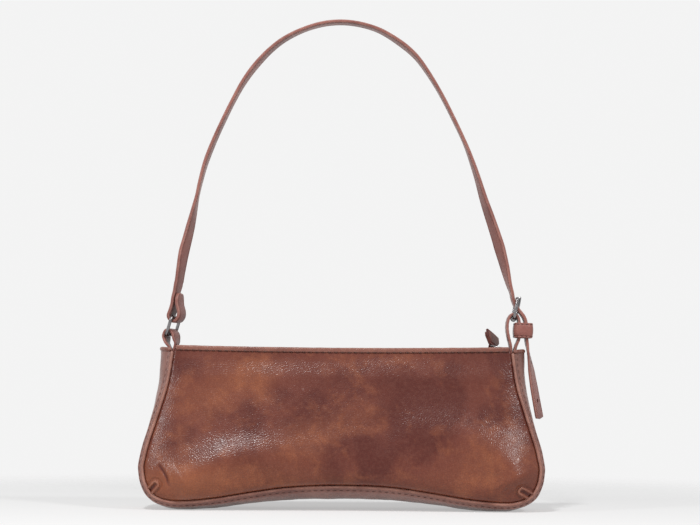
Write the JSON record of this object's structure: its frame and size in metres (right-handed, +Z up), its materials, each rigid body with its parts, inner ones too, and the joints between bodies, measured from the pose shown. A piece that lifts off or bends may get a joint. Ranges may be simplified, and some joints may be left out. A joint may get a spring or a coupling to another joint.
{
  "type": "mini shoulder bag",
  "caption": "Small leather baguette shoulder bag with a zip, puffed panels on a rounded gusset, and a narrow strap held by a ring and a prong buckle",
  "frame": {"origin": "On the ground under the middle of the bag, at the bottom centre of its bounding box", "axes": "+Z up, +X to the right seen from the front, -Y the way the front panel faces"},
  "size_m": [0.2752, 0.0597, 0.337],
  "materials": {
    "body_leather": "semi-gloss mottled brown leather",
    "gusset_leather": "semi-gloss brown leather, slightly paler",
    "edge_leather": "rubbed brown leather on folded edges",
    "strap_leather": "smooth brown leather with stitched edges",
    "lining_cloth": "matt woven lining",
    "zip_tape": "dark brown woven tape with metal teeth",
    "zip_metal": "dark metal",
    "dark_nickel": "polished dark nickel"
  },
  "bodies": {
    "bag_body": {"front_panel": "body_leather", "back_panel": "body_leather", "gusset": "gusset_leather", "front_welt": "edge_leather", "back_welt": "edge_leather", "front_top_binding": "edge_leather", "back_top_binding": "edge_leather", "front_facing": "strap_leather", "back_facing": "strap_leather", "zip_tape_front": "zip_tape", "zip_tape_back": "zip_tape", "zip_stop_left": "zip_metal", "zip_stop_right": "zip_metal", "end_patch_left": "lining_cloth", "end_patch_right": "lining_cloth", "lining_front": "lining_cloth", "lining_back": "lining_cloth", "lining_gusset": "lining_cloth", "gusset_rim_left": "edge_leather", "gusset_rim_right": "edge_leather"},
    "slider": {"zip_slider": "dark_nickel"},
    "pull_ring": {"zip_pull_ring": "dark_nickel"},
    "pull_tab": {"zip_pull_tab": "strap_leather"},
    "carry_strap": {"strap": "strap_leather", "left_tab": "strap_leather", "right_tab": "strap_leather"},
    "ring": {"left_ring": "dark_nickel"},
    "buckle": {"buckle_frame": "dark_nickel"},
    "prong": {"buckle_prong": "dark_nickel"},
    "keeper": {"strap_keeper": "strap_leather"}
  },
  "joints": [
    {"name": "zip_slide", "type": "slide", "parent": "bag_body", "child": "slider", "axis": [-1, 0, 0], "range_m": [0, 0.2054]},
    {"name": "pull_ring_swing", "type": "hinge", "parent": "slider", "child": "pull_ring", "pos_m": [0.10918, -0.0004, 0.1085], "axis": [0.5979, 0.6576, -0.4584], "range_deg": [-1, 15]},
    {"name": "pull_tab_swing", "type": "hinge", "parent": "pull_ring", "child": "pull_tab", "pos_m": [0.10354, 0.00665, 0.11113], "axis": [0.5979, 0.6576, -0.4584], "range_deg": [-10, 25]},
    {"name": "strap_swing", "type": "hinge", "parent": "bag_body", "child": "carry_strap", "pos_m": [0, 0, 0.108], "axis": [1, 0, 0], "range_deg": [-20, 20]},
    {"name": "ring_rock", "type": "hinge", "parent": "carry_strap", "child": "ring", "pos_m": [-0.11458, -0.00062, 0.13017], "axis": [0.309, 0.9511, 0], "range_deg": [-3, 3]},
    {"name": "buckle_rock", "type": "hinge", "parent": "carry_strap", "child": "buckle", "pos_m": [0.11718, 0, 0.1309], "axis": [0, 1, 0], "range_deg": [-1.5, 1.5]},
    {"name": "prong_pivot", "type": "hinge", "parent": "buckle", "child": "prong", "pos_m": [0.11718, 0, 0.1309], "axis": [0, 1, 0], "range_deg": [0, 2.5]},
    {"name": "keeper_slide", "type": "slide", "parent": "carry_strap", "child": "keeper", "axis": [0, 0, 1], "range_m": [-0.002, 0.0005]}
  ]
}
